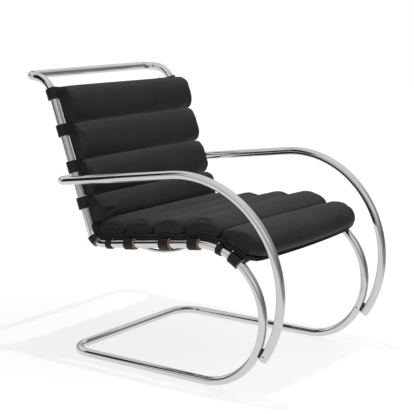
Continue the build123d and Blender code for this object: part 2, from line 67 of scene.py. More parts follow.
def rail(station, height):
    """Y and Z at stations along the side tube and heights over its middle line, as arrays.

    A station is the length along the tube from the front end of the straight seat rail, negative
    on the front curve, as in the CAD."""
    s, h = np.broadcast_arrays(np.asarray(station, float), np.asarray(height, float))
    s, h = s[..., None], h[..., None]

    def arc(centre, up, along, radius, side, angle):
        direction = up * np.cos(angle) + along * np.sin(angle)
        return centre + side * direction * (radius + side * h)

    front = arc(CURVE_CENTRE, SEAT_UP, SEAT_ALONG, CURVE_R, 1, s / CURVE_R)
    seat = SEAT_START + SEAT_ALONG * s + SEAT_UP * h
    bend = arc(BEND_CENTRE, SEAT_UP, -SEAT_ALONG, BEND_R, -1, (s - SEAT_RUN) / BEND_R)
    post = POST_START + POST_ALONG * (s - POST_STATION) + POST_UP * h
    top = arc(TOP_CENTRE, POST_UP, POST_ALONG, TOP_R, 1, (s - TOP_STATION) / TOP_R)
    places = [s < 0, s < SEAT_RUN, s < POST_STATION, s < TOP_STATION]
    return np.select(places, [front, seat, bend, post], top)


def at(x, station, height):
    """Points in the shared frame, as an array of X, Y, Z."""
    yz = rail(station, height)
    across = np.broadcast_to(np.asarray(x, float)[..., None], yz.shape[:-1] + (1,))
    return np.concatenate([across, yz], -1)


# ---------------------------------------------------------------- leather, as in the CAD, in mm
TUBE_R, HALF_WIDTH = 12.7, 300.0
RAIL_END, POST_FOOT, POST_END = SEAT_RUN / MM, POST_STATION / MM, TOP_STATION / MM
WIDE, CORNER_WIDE = 36.0, 26.0
STRAPS = {      # station and width at the side tube's middle line
    "front_edge": (-135.1, WIDE), "seat_front": (7.5, WIDE), "seat_middle": (107.9, WIDE),
    "seat_rear": (RAIL_END - 99.6, WIDE), "corner": ((RAIL_END + POST_FOOT) / 2 + 4.6, CORNER_WIDE),
    "back_lower": (POST_FOOT + 86.6, WIDE), "back_middle": (POST_FOOT + 198.1, WIDE),
    "back_upper": (POST_FOOT + 310.6, WIDE), "back_top": (POST_END - 0.2, WIDE),
}
TIES = {"front": -79.4, "rear": RAIL_END - 21.8}
TIE_WIDE = 18.0
STRAP_THICK, TIE_THICK = 5.0, 3.4
STRAP_RETURN, TIE_RETURN = 25.0, 35.0   # degrees at which the folded end rises to the band
STRAP_LAP, TIE_LAP = 46.0, 26.0         # length of the folded end that lies against the band
TIE_ANCHOR = 78.0                       # from the side tube's middle to the end under the cushion
FOLD_BEND_R = 12.0
LEATHER_GAP = 0.25
CUSHION_GAP = 0.3
CUSHION_FRONT = -168.0
CUSHION_FOLD = POST_FOOT + 17.2
CUSHION_TOP = POST_END + 8.8
BACKING_HEIGHT = TUBE_R + LEATHER_GAP + STRAP_THICK + CUSHION_GAP
BACKING_THICK = {"seat": 15.0, "back": 8.0}


# ---------------------------------------------------------------- node helpers
class Nodes:
    """Short names for building a material's node tree."""

    def __init__(self, name):
        self.material = bpy.data.materials.new(name)
        self.material.use_nodes = True
        self.tree = self.material.node_tree
        self.shader = self.tree.nodes["Principled BSDF"]
        self.output = self.tree.nodes["Material Output"]

    def add(self, kind, **values):
        """A new node with these values of its inputs or settings."""
        node = self.tree.nodes.new(kind)
        for key, value in values.items():
            if key in node.inputs:
                node.inputs[key].default_value = value
            else:
                setattr(node, key, value)
        return node

    def link(self, a, out, b, into):
        self.tree.links.new(a.outputs[out], b.inputs[into])

    def constants(self, **values):
        for key, value in values.items():
            self.shader.inputs[key.replace("_", " ")].default_value = value

    def coords(self):
        return self.add("ShaderNodeTexCoord")

    def noise(self, scale, detail=2.0, rough=0.5):
        node = self.add("ShaderNodeTexNoise", Scale=scale, Detail=detail, Roughness=rough)
        self.link(self.coords(), "Object", node, "Vector")
        return node

    def ramp(self, source, out, stops):
        node = self.add("ShaderNodeValToRGB")
        while len(node.color_ramp.elements) < len(stops):
            node.color_ramp.elements.new(0.5)
        for element, (place, colour) in zip(node.color_ramp.elements, stops):
            element.position = place
            element.color = (*colour, 1)
        self.link(source, out, node, "Fac")
        return node

    def span(self, source, out, low, high):
        """A number between low and high from a 0 to 1 output."""
        node = self.add("ShaderNodeMapRange")
        node.inputs["To Min"].default_value = low
        node.inputs["To Max"].default_value = high
        self.link(source, out, node, "Value")
        return node

    def fade(self, source, out, start, end, first, last):
        """A number that turns smoothly from first to last as the source goes from start to end."""
        node = self.add("ShaderNodeMapRange", interpolation_type="SMOOTHSTEP")
        names = ("From Min", "From Max", "To Min", "To Max")
        for key, value in zip(names, (start, end, first, last)):
            node.inputs[key].default_value = value
        self.link(source, out, node, "Value")
        return node

    def bump(self, source, out, strength, distance, under=None):
        node = self.add("ShaderNodeBump", Strength=strength, Distance=distance)
        self.link(source, out, node, "Height")
        if under is not None:
            self.link(under, "Normal", node, "Normal")
        self.link(node, "Normal", self.shader, "Normal")
        return node


# ---------------------------------------------------------------- materials
def chrome():
    """Polished chrome plate: faint smears in the tone and the gloss."""
    m = Nodes("chrome_plate")
    m.constants(Metallic=1.0)
    stops = [(0.3, (0.70, 0.695, 0.69)), (0.7, (0.76, 0.755, 0.75))]
    m.link(m.ramp(m.noise(6.0, detail=3.0), "Fac", stops), "Color", m.shader, "Base Color")
    gloss = m.span(m.noise(35.0, detail=5.0, rough=0.6), "Fac", low=0.06, high=0.11)
    m.link(gloss, "Result", m.shader, "Roughness")
    return m.material


def turned_metal(name, dark, light, rough):
    """Turned or machined metal of small fasteners."""
    m = Nodes(name)
    m.constants(Metallic=1.0)
    tint = m.ramp(m.noise(180.0, detail=4.0), "Fac", [(0.3, dark), (0.7, light)])
    m.link(tint, "Color", m.shader, "Base Color")
    gloss = m.span(m.noise(900.0, detail=3.0), "Fac", low=rough - 0.08, high=rough + 0.1)
    m.link(gloss, "Result", m.shader, "Roughness")
    m.bump(m.noise(1500.0), "Fac", strength=0.15, distance=0.2 * MM)
    return m.material


def black_plastic():
    """Moulded plastic with a fine grain."""
    m = Nodes("black_plastic")
    stops = [(0.3, (0.012, 0.012, 0.013)), (0.7, (0.022, 0.022, 0.023))]
    m.link(m.ramp(m.noise(90.0, detail=3.0), "Fac", stops), "Color", m.shader, "Base Color")
    gloss = m.span(m.noise(400.0, detail=3.0), "Fac", low=0.38, high=0.55)
    m.link(gloss, "Result", m.shader, "Roughness")
    m.bump(m.noise(2200.0), "Fac", strength=0.2, distance=0.2 * MM)
    return m.material


def leather(name, dark, light, grain=900.0, rough=(0.5, 0.68), depth=0.25 * MM):
    """Leather: pebble grain, finer pores between, and slow changes of tone and gloss."""
    m = Nodes(name)
    m.constants(Specular_IOR_Level=0.3)
    tint = m.ramp(m.noise(7.0, detail=4.0, rough=0.6), "Fac", [(0.3, dark), (0.72, light)])
    m.link(tint, "Color", m.shader, "Base Color")
    gloss = m.span(m.noise(60.0, detail=5.0, rough=0.6), "Fac", *rough)
    m.link(gloss, "Result", m.shader, "Roughness")
    pebble = m.add("ShaderNodeTexVoronoi", Scale=grain, feature="SMOOTH_F1")
    m.link(m.coords(), "Object", pebble, "Vector")
    coarse = m.bump(pebble, "Distance", strength=0.35, distance=depth)
    pores = m.noise(grain * 2.7, detail=3.0, rough=0.6)
    m.bump(pores, "Fac", strength=0.2, distance=depth * 0.6, under=coarse)
    return m.material


def cut_edge():
    """Undyed cut edge of thick leather: tan and fibrous, in lighter and darker streaks."""
    m = Nodes("strap_cut_edge")
    m.constants(Specular_IOR_Level=0.3)
    fibres = m.noise(650.0, detail=5.0, rough=0.7)
    stops = [(0.25, (0.20, 0.105, 0.055)), (0.5, (0.36, 0.215, 0.13)), (0.8, (0.50, 0.34, 0.23))]
    m.link(m.ramp(fibres, "Fac", stops), "Color", m.shader, "Base Color")
    m.link(m.span(fibres, "Fac", low=0.55, high=0.8), "Result", m.shader, "Roughness")
    m.bump(fibres, "Fac", strength=0.4, distance=0.3 * MM)
    return m.material


CHROME = chrome()
FASTENER = turned_metal("satin_steel", (0.34, 0.34, 0.35), (0.5, 0.5, 0.51), 0.3)
RIVET = turned_metal("dull_brass", (0.30, 0.22, 0.11), (0.46, 0.36, 0.2), 0.38)
SPACER = black_plastic()
CUSHION_LEATHER = leather("cushion_leather", (0.0092, 0.0092, 0.0094), (0.0145, 0.0144, 0.0144))
BACKING_LEATHER = leather(
    "backing_leather", (0.0065, 0.0065, 0.0067), (0.011, 0.0108, 0.0108), grain=1100.0)
STRAP_LEATHER = leather(
    "strap_leather", (0.0055, 0.0055, 0.0058), (0.0105, 0.0104, 0.0104), grain=700.0,
    rough=(0.42, 0.58))
STRAP_EDGE = cut_edge()
STRAP_INNER = leather(
    "strap_inner_face", (0.26, 0.15, 0.09), (0.38, 0.235, 0.15), grain=500.0, rough=(0.7, 0.85))
THREAD = leather(
    "waxed_thread", (0.02, 0.02, 0.02), (0.035, 0.035, 0.034), grain=2500.0, rough=(0.45, 0.6),
    depth=0.1 * MM)


# ---------------------------------------------------------------- mesh helpers
def mesh_object(name, points, faces, materials, face_material=None):
    """A smooth shaded object that rides on the chair."""
    mesh = bpy.data.meshes.new(name)
    mesh.from_pydata([tuple(p) for p in points], [], faces)
    for material in materials:
        mesh.materials.append(material)
    if face_material is not None:
        mesh.polygons.foreach_set("material_index", face_material)
    mesh.polygons.foreach_set("use_smooth", [True] * len(mesh.polygons))
    mesh.update()
    obj = bpy.data.objects.new(name, mesh)
    bpy.context.collection.objects.link(obj)
    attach(obj, "root")
    return obj


def ring_faces(rings, across):
    """Quads between rings that have the same number of points."""
    faces = []
    for i in range(rings - 1):
        for j in range(across):
            k = (j + 1) % across
            faces.append((i * across + j, i * across + k, (i + 1) * across + k, (i + 1) * across + j))
    return faces


def end_faces(rings, across):
    """The faces that close the first and the last ring."""
    return [tuple(range(across))[::-1], tuple(range((rings - 1) * across, rings * across))]


def smooth(t):
    """Smooth step from 0 to 1."""
    t = np.clip(t, 0, 1)
    return t * t * (3 - 2 * t)


# ---------------------------------------------------------------- straps and ties
STRAIGHT_STEPS, TUBE_STEPS, BAND_STEPS = 6, 30, 16      # points of a loop's middle line


class Fold:
    """The middle line of a leather loop round the left side tube, as X and height, and its normals
    towards the outer, finished face. It runs from the folded end round the tube to inner_x."""

    def __init__(self, thick, angle, lap, inner_x):
        self.thick = thick
        mid = TUBE_R + LEATHER_GAP + thick / 2      # from the tube's middle to the leather's
        angle = radians(angle)
        lap_height = mid - thick - LEATHER_GAP
        bend_rise = FOLD_BEND_R * (1 - cos(angle))
        rise = (lap_height + mid * cos(angle) - bend_rise) / sin(angle)
        off = np.array([mid * sin(angle) - HALF_WIDTH, -mid * cos(angle)])
        bend = np.array([off[0] + rise * cos(angle), lap_height - bend_rise])
        lap_start = bend[0] + FOLD_BEND_R * sin(angle)
        self.points, self.normals = [], []

        def line(a, b, count, normal):
            for t in np.linspace(0, 1, count, endpoint=False):
                self.points.append((a[0] + (b[0] - a[0]) * t, a[1] + (b[1] - a[1]) * t))
                self.normals.append(normal)

        line((lap_start + lap, lap_height), (lap_start, lap_height), STRAIGHT_STEPS, (0, -1))
        for t in np.linspace(0, angle, STRAIGHT_STEPS, endpoint=False):
            self.points.append((lap_start - FOLD_BEND_R * sin(t),
                                lap_height - FOLD_BEND_R * (1 - cos(t))))
            self.normals.append((sin(t), -cos(t)))
        line(bend, off, STRAIGHT_STEPS, (sin(angle), -cos(angle)))
        for t in np.linspace(angle, -pi, TUBE_STEPS, endpoint=False):
            self.points.append((mid * sin(t) - HALF_WIDTH, -mid * cos(t)))
            self.normals.append((sin(t), -cos(t)))
        line((-HALF_WIDTH, mid), (inner_x, mid), BAND_STEPS, (0, 1))
        self.points.append((inner_x, mid))
        self.normals.append((0, 1))
        self.points, self.normals = np.array(self.points), np.array(self.normals)


# the groove between a strap's two plies: height and share of its depth, going up its side
PLY_GROOVE = ((-0.35, 0), (-0.12, 1), (0.12, 1), (0.35, 0))


def strap_section(width, thick, corner, groove):
    """Round the section of a strap: place across it and height from its middle. Each side of a
    strap of two plies has a fine groove."""
    half_w, half_t = width / 2, thick / 2
    points = []

    def corner_arc(sign_w, sign_t, start):
        for t in np.linspace(0, pi / 2, 4):
            angle = start + t
            points.append((sign_w * (half_w - corner) + corner * cos(angle),
                           sign_t * (half_t - corner) + corner * sin(angle)))

    def side(sign):
        if groove:
            for height, share in PLY_GROOVE:
                points.append((sign * (half_w - groove * share), sign * height))

    def face(sign):
        for share in (0.5, 0.0, -0.5):
            points.append((sign * share * (half_w - corner), sign * half_t))

    corner_arc(1, -1, -pi / 2)
    side(1)
    corner_arc(1, 1, 0)
    face(1)
    corner_arc(-1, 1, pi / 2)
    side(-1)
    corner_arc(-1, -1, pi)
    face(-1)
    return np.array(points)


STRAP_CORNER, STRAP_GROOVE, TIE_CORNER = 0.9, 0.6, 1.0
EDGE_SHARE = 0.75           # how much of a rounded corner is cut edge
TOP_BAND_DRAWN = 8.0        # the top strap's upper edge is lower by this between the side tubes
DRAWN_FROM, DRAWN_OVER = 335.0, 85.0    # where that starts, and over what length it grows inwards


def leather_loop(name, fold, station, width, corner, groove, materials, both_sides, drawn=0.0):
    """A strap or tie: the fold's middle line swept with its section along the side tube. Its
    materials are those of the outer face, the cut edges and the inner face."""
    line, normal = fold.points, fold.normals
    if both_sides:
        line = np.concatenate([line, line[-2::-1] * (-1, 1)])
        normal = np.concatenate([normal, normal[-2::-1] * (-1, 1)])
    section = strap_section(width, fold.thick, corner, groove)
    sideways, lift = section[:, 0][None, :], section[:, 1][None, :]
    x = line[:, 0][:, None] + normal[:, 0][:, None] * lift
    height = line[:, 1][:, None] + normal[:, 1][:, None] * lift
    inward = np.clip((DRAWN_FROM - np.abs(x)) / DRAWN_OVER, 0, 1)
    upper = np.clip(sideways / (width / 2), 0, 1)
    stations = station + sideways - drawn * upper * inward
    points = at(x * MM, stations * MM, height * MM).reshape(-1, 3)
    rings, across = len(line), len(section)
    # a face is a cut edge, or on the inner face, where both its points across are
    is_edge = np.abs(section[:, 0]) > width / 2 - corner * EDGE_SHARE
    inner = section[:, 1] < -fold.thick / 2 + corner
    flags = []
    for j in range(across):
        k = (j + 1) % across
        flags.append(1 if is_edge[j] and is_edge[k] else 2 * int(inner[j] and inner[k]))
    faces = ring_faces(rings, across) + end_faces(rings, across)
    return mesh_object(name, points, faces, materials, flags * (rings - 1) + [1, 1])


WIDE_FOLD = Fold(STRAP_THICK, STRAP_RETURN, STRAP_LAP, 0.0)
TIE_FOLD = Fold(TIE_THICK, TIE_RETURN, TIE_LAP, TIE_ANCHOR - HALF_WIDTH)

for place, (station, width) in STRAPS.items():
    drawn = TOP_BAND_DRAWN if place == "back_top" else 0.0
    strap = leather_loop(f"leather_strap_{place}", WIDE_FOLD, station, width, STRAP_CORNER, STRAP_GROOVE,
                         [STRAP_LEATHER, STRAP_EDGE, STRAP_INNER], True, drawn)
    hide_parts(f"strap_{place}")
for place, station in TIES.items():
    for side in ("left", "right"):
        tie = leather_loop(f"leather_tie_{place}_{side}", TIE_FOLD, station, TIE_WIDE, TIE_CORNER, 0.0,
                           [STRAP_LEATHER] * 3, False)
        if side == "right":
            tie.data.transform(Matrix.Scale(-1, 4, (1, 0, 0)))
            tie.data.flip_normals()
        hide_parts(f"tie_{place}_{side}")


# ---------------------------------------------------------------- how the cushion lies, in mm
HALF_CUSHION = 305.0
HALF_BACK_BACKING = 301.5
HALF_ROLLS = 303.0
TOP_SHORT = 5.0         # the back's backing ends this far under the top of its CAD solid
TOP_ROLL_SHORT = 3.0    # and the top roll this far
PIECE_GAP = 0.05        # half of the gap between neighbouring rolls or backings

FRONT_SAG = 7.0         # the front edge hangs lower by this in the middle of the chair
FRONT_SAG_REACH = 105.0
FRONT_CORNER = {"left": 15.0, "right": 4.0}     # how far its corners are rounded off
CORNER_REACH = 60.0     # how far back that goes
CORNER_FROM, CORNER_OVER = 240.0, 65.0      # where it starts sideways, and over what length it grows
SEAM_SKEW = 9.0         # the seat's seams run this much further forwards on the right side
SKEW_FROM_FRONT, SKEW_TO_FOLD = 60.0, 120.0     # lengths over which the skew comes and goes
SAG_BELOW, SAG_OVER = 58.0, 25.0            # the sag starts under this height, and is full after this
EDGE_FROM, EDGE_OVER = 270.0, 25.0          # the side edges, where the leather hangs onto the tubes
EDGE_SAG, TOP_EDGE_SAG = 5.3, 0.5           # between the straps, and between the upper back straps
TOP_EDGE_FROM = POST_FOOT + 250.0           # where those start
SEAT_SAG_SHARE, SEAT_SAG = 0.05, 3.5        # of the gap between two straps, and the most
RIM_OVER = 4.0          # the edge's sag grows over this length beside a strap


def sag(station, edge, under):
    """How far the underside, where under is 1, sinks between the straps and ties that carry it. Its
    edge, where edge is 1, hangs onto the side tubes."""
    bands = [(s - w / 2, s + w / 2) for s, w in STRAPS.values()]
    bands += [(s - TIE_WIDE / 2, s + TIE_WIDE / 2) for s in TIES.values()]
    bands.sort()
    low = np.zeros_like(station)
    for (_, a), (b, _) in zip(bands, bands[1:]):
        t = np.clip((station - a) / (b - a), 0, 1)
        deepest = min(SEAT_SAG, SEAT_SAG_SHARE * (b - a)) if b < POST_FOOT else 0.0
        middle = deepest * np.sin(pi * t) ** 2
        rim = np.clip(np.minimum(t, 1 - t) * (b - a) / RIM_OVER, 0, 1)
        hang = EDGE_SAG if b < TOP_EDGE_FROM else TOP_EDGE_SAG
        low = low + under * middle + edge * (hang - under * middle) * smooth(rim)
    return low


def placed(x, station, height):
    """Cushion points in mm to points in the shared frame, with the cushion's sag and its front
    edge and seams as they lie."""
    station = np.asarray(station, float)
    front = smooth((CUSHION_FRONT + FRONT_SAG_REACH - station) / FRONT_SAG_REACH)
    front = front * FRONT_SAG * (1 - (x / HALF_CUSHION) ** 2)
    corner = np.where(np.asarray(x) < 0, FRONT_CORNER["left"], FRONT_CORNER["right"])
    corner = corner * smooth((CUSHION_FRONT + CORNER_REACH - station) / CORNER_REACH)
    front = front - corner * smooth((np.abs(x) - CORNER_FROM) / CORNER_OVER)
    skewed = smooth((station - CUSHION_FRONT) / SKEW_FROM_FRONT)
    skewed = skewed * smooth((CUSHION_FOLD - station) / SKEW_TO_FOLD)
    front = front + SEAM_SKEW * skewed * smooth((x + HALF_CUSHION) / (2 * HALF_CUSHION))
    under = smooth((SAG_BELOW - height) / SAG_OVER)
    edge = smooth((np.abs(x) - EDGE_FROM) / EDGE_OVER) * under
    return at(x * MM, (station - front) * MM, (height - sag(station, edge, under)) * MM)


# ---------------------------------------------------------------- stuffed channels
# For each: where it ends, height of the groove there at the cushion's side edges and in its
# middle, how far the crown is past the roll's middle, and the crown's height at the side edges and
# in the middle. Heights are from the side tube's middle line.
ROLLS = (
    ("seat_roll_1", -67.0, 36.0, 51.0, -10.0, 64.0, 75.5),
    ("seat_roll_2", 44.0, 37.0, 57.0, -7.0, 58.0, 69.5),
    ("seat_roll_3", 155.0, 37.0, 57.0, -10.0, 58.0, 70.5),
    ("seat_roll_4", RAIL_END - 77.6, 37.0, 57.0, -8.0, 56.0, 68.5),
    ("seat_roll_5", CUSHION_FOLD, 50.0, 58.0, -36.0, 59.0, 71.0),
    ("back_roll_1", POST_FOOT + 98.5, 30.0, 42.0, 1.9, 58.5, 64.0),
    ("back_roll_2", POST_FOOT + 208.5, 30.0, 42.0, 0.2, 57.0, 60.5),
    ("back_roll_3", POST_FOOT + 320.8, 35.0, 45.0, 0.1, 58.5, 62.0),
    ("back_roll_4", CUSHION_TOP - TOP_ROLL_SHORT, 30.0, 34.0, 5.0, 63.0, 66.5),
)
FIRST_GROOVE = (CUSHION_FRONT, 36.0, 38.0)      # where the first roll starts, as the grooves are given
GROOVE_REACH = 75.0         # the groove has its middle height this far from the roll's end
END_ROUNDING = {"seat": 30.0, "back": 16.0}     # length over which the end rounds over to the crown
END_POWER = 2.3             # of the superellipse that it follows there
# How a roll falls from its crown to a groove, as power and root for fall()
SEAT_FALL = (2.6, 2.0)      # at a roll's ends
SEAT_FALL_LESS = (0.5, 0.45)        # in its middle both are less by this
FRONT_FALL = (3.0, 2.2)     # towards the cushion's front edge
BACK_FALL = (3.2, 2.0)
TOP_FALL = (4.0, 2.4)       # towards its top edge
GATHER_REACH = {"seat": 19.0, "back": 24.0}     # of the small folds at the seams' ends
GATHER_HEIGHT = {"seat": 0.8, "back": 1.3}
GATHER_FOLDS = 9            # waves per radian round a point that is GATHER_INSET outside the seam's end
GATHER_INSET = 4.0
TOP_ROLL_SKEW = 2.0         # the top roll's left end stands higher by this, its right end lower
OVER_BASE = 0.3             # least thickness of a roll


def fall(away, power, root):
    """What is left of the crown's height over the grooves, at 0 to 1 from the crown to a groove."""
    return (1 - away ** power) ** (1 / root)


def bulge(name, v, middle):
    """Share of the crown's height over the grooves, at -1 to 1 from groove to groove. The seat's
    rolls have another shape in their middle, where middle is 1, than at their ends."""
    away = np.abs(v)
    if name.startswith("back"):
        plain = fall(away, *BACK_FALL)
        return np.where(v > 0, fall(away, *TOP_FALL), plain) if name == "back_roll_4" else plain
    plain = fall(away, *(a - b * middle for a, b in zip(SEAT_FALL, SEAT_FALL_LESS)))
    return np.where(v < 0, fall(away, *FRONT_FALL), plain) if name == "seat_roll_1" else plain


def roll_points(x, u, roll, start):
    """Station and height over a roll, at a place across the chair and fractions between its
    grooves, and the height of its base."""
    name, last, edge_end, mid_end, past, edge_crown, mid_crown = roll
    first, edge_start, mid_start = start
    part = name.split("_")[0]
    base = BACKING_HEIGHT + BACKING_THICK[part] + CUSHION_GAP
    inward = np.clip(HALF_ROLLS - np.abs(x), 0, None)
    middle = smooth(inward / GROOVE_REACH)
    groove = (edge_start + (mid_start - edge_start) * middle) * (1 - u) \
        + (edge_end + (mid_end - edge_end) * middle) * u
    # the end comes up straight, then rounds over to the crown
    short = 1 - np.clip(inward / END_ROUNDING[part], 0, 1)
    over = (1 - short ** END_POWER) ** (1 / END_POWER)
    crown = edge_crown + (mid_crown - edge_crown) * over
    top = 0.5 + past / (last - first)
    v = np.where(u < top, (u - top) / top, (u - top) / (1 - top))
    full = bulge(name, v, middle)
    height = groove + (crown - groove) * full
    # short gathers that run out of the seams' ends
    station = first + (last - first) * u
    for corner, turned in ((first, 1), (last, -1)):
        ds = (station - corner) * turned
        near = np.exp(-(inward ** 2 + ds ** 2) / (2 * GATHER_REACH[part] ** 2))
        folds = np.cos(GATHER_FOLDS * np.arctan2(ds, inward + GATHER_INSET) + corner)
        height = height + GATHER_HEIGHT[part] * near * folds * full
    if name == "back_roll_4":
        station = station - TOP_ROLL_SKEW * x / HALF_ROLLS
    return station, np.maximum(height, base + OVER_BASE), base


POINTS_OVER, WIDE_POINTS_OVER = 30, 40  # over a roll, and over one of at least WIDE_ROLL
WIDE_ROLL = 130.0
POINTS_UNDER = 12
EVEN_SPACING = 0.45                     # the rest of the points' spacing is closer at the seams
END_RINGS = (0, 0.7, 2.2, 4.5, 7.5, 11.5, 16.5, 22.5, 29.5)    # distances from the roll's end
MIDDLE_RINGS = np.linspace(37.5, HALF_ROLLS, 34)
SEAM_PULL, SEAM_PULL_REACH = 9.0, 110.0     # the ends are drawn in at the seams
BASE_INSET = 1.5                        # the underside lies this much further in
END_CAP = ((0.82, 1.6), (0.6, 2.6), (0.36, 3.0), (0.15, 3.1))  # size and how far out, ring by ring


def roll_mesh(roll, start):
    """One stuffed channel as a closed grid of rings across the chair, with its end caps."""
    name, last = roll[:2]
    first = start[0]
    over = POINTS_OVER if last - first < WIDE_ROLL else WIDE_POINTS_OVER
    under = POINTS_UNDER
    across = over + under
    gap = PIECE_GAP / (last - first)
    u = gap + (1 - 2 * gap) * (1 - np.cos(np.linspace(0, pi, over))) / 2 * (1 - EVEN_SPACING) \
        + (1 - 2 * gap) * np.linspace(0, 1, over) * EVEN_SPACING
    inward = np.concatenate([END_RINGS, MIDDLE_RINGS])
    back = np.linspace(u[-1], u[0], under + 2)[1:-1]
    rings = []
    for x in np.concatenate([inward - HALF_ROLLS, (HALF_ROLLS - inward)[-2::-1]]):
        station, height, base = roll_points(x, u, roll, start)
        near_end = 1 - smooth((HALF_ROLLS - abs(x)) / SEAM_PULL_REACH)
        ring_x = x - np.sign(x) * SEAM_PULL * np.abs(2 * u - 1) ** 3 * near_end
        base_x = np.full(under, x - np.sign(x) * BASE_INSET)
        rings.append(np.concatenate([
            np.stack([ring_x, station, height], 1),
            np.stack([base_x, first + (last - first) * back, np.full(under, base)], 1)]))
    points = [point for ring in rings for point in ring]
    faces = ring_faces(len(rings), across)
    # end caps: smaller and smaller copies of the end ring, a little outwards
    for end, sign in ((0, -1), (len(rings) - 1, 1)):
        ring = rings[end]
        centre = ring.mean(0)
        before = [end * across + j for j in range(across)]
        for shrink, out in END_CAP:
            loop = centre + (ring - centre) * shrink
            loop[:, 0] += sign * out
            here = [len(points) + j for j in range(across)]
            points.extend(loop)
            for j in range(across):
                k = (j + 1) % across
                quad = (before[j], before[k], here[k], here[j])
                faces.append(quad if sign > 0 else quad[::-1])
            before = here
        faces.append(tuple(before) if sign > 0 else tuple(before[::-1]))
    world = placed(*np.array(points).T)
    obj = mesh_object(f"cushion_{name}", world, [f[::-1] for f in faces], [CUSHION_LEATHER])
    # what stays put while the roll is inflated: its base and its seams
    hold = obj.vertex_groups.new(name="seams")
    starts = [i * across for i in range(len(rings))]
    hold.add([i + j for i in starts for j in (0, *range(over - 1, across))], 1.0, "REPLACE")
    hold.add([i + j for i in starts for j in (1, over - 2)], 0.5, "REPLACE")
    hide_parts(name)
    return obj


SWELL_FRAMES = 20
SWELL_CAP = 5 * MM


def inflate(pieces):
    """Cloth simulation: the rolls swell against their seams, and no point moves past the cap."""
    scene = bpy.context.scene
    scene.frame_start, scene.frame_end = 1, SWELL_FRAMES
    starts = []
    for obj in pieces:
        points = np.empty(len(obj.data.vertices) * 3)
        obj.data.vertices.foreach_get("co", points)
        starts.append(points.reshape(-1, 3))
        cloth = obj.modifiers.new("inflate", "CLOTH")
        settings = cloth.settings
        settings.quality = 6
        settings.mass = 0.3
        settings.tension_stiffness = settings.compression_stiffness = 40
        settings.shear_stiffness = 20
        settings.bending_stiffness = 12
        settings.tension_damping = settings.compression_damping = 25
        settings.air_damping = 6
        settings.use_pressure = True
        settings.uniform_pressure_force = 4
        settings.vertex_group_mass = "seams"
        settings.pin_stiffness = 2
        settings.effector_weights.gravity = 0
        cloth.collision_settings.use_collision = False
        cloth.point_cache.frame_start, cloth.point_cache.frame_end = 1, SWELL_FRAMES
    for number in range(1, SWELL_FRAMES + 1):
        scene.frame_set(number)
    graph = bpy.context.evaluated_depsgraph_get()
    for obj, start in zip(pieces, starts):
        result = obj.evaluated_get(graph).to_mesh()
        points = np.empty(len(result.vertices) * 3)
        result.vertices.foreach_get("co", points)
        obj.evaluated_get(graph).to_mesh_clear()
        move = points.reshape(-1, 3) - start
        length = np.linalg.norm(move, axis=1)
        limit = SWELL_CAP * np.tanh(length / SWELL_CAP) / np.maximum(length, 1e-9)
        obj.modifiers.remove(obj.modifiers["inflate"])
        obj.data.vertices.foreach_set("co", (start + move * limit[:, None]).ravel())
        obj.data.update()
    scene.frame_set(1)


rolls = []
start = FIRST_GROOVE
for roll in ROLLS:
    rolls.append(roll_mesh(roll, start))
    start = roll[1:4]
inflate(rolls)


# ---------------------------------------------------------------- backings
BACKING_STEP = 2.2      # between its rings
BACKING_ACROSS = 26     # points across its top, and as many under it
PLY_ROUNDING = 4.0      # how far each ply's edge is rounded
PLY_SEAM = 0.4          # how little of that is left at the seam between the plies
PLY_POINTS = 9
STITCH_PITCH, STITCH_LENGTH, STITCH_R, STITCH_SIDES = 5.0, 3.9, 0.65, 8
STITCH_INSET = 6.0      # from the backing's ends
STITCH_RINGS = ((-0.5, 0.3), (-0.36, 0.85), (0.36, 0.85), (0.5, 0.3))   # place and size


def stitches(first, last, x, height):
    """Waxed stitches along both side edges, half sunk into the leather: points and faces."""
    points, faces = [], []
    turn = np.linspace(0, 2 * pi, STITCH_SIDES, endpoint=False)
    rings = len(STITCH_RINGS)
    for sign in (-1, 1):
        for station in np.arange(first + STITCH_INSET, last - STITCH_INSET, STITCH_PITCH):
            for face in ring_faces(rings, STITCH_SIDES) + end_faces(rings, STITCH_SIDES):
                face = tuple(len(points) + j for j in face)
                faces.append(face if sign > 0 else face[::-1])
            for along, size in STITCH_RINGS:
                r = STITCH_R * size
                place = station + STITCH_LENGTH * along
                points += [(sign * (x + r * cos(a)), place, height + r * sin(a)) for a in turn]
    return np.array(points), faces


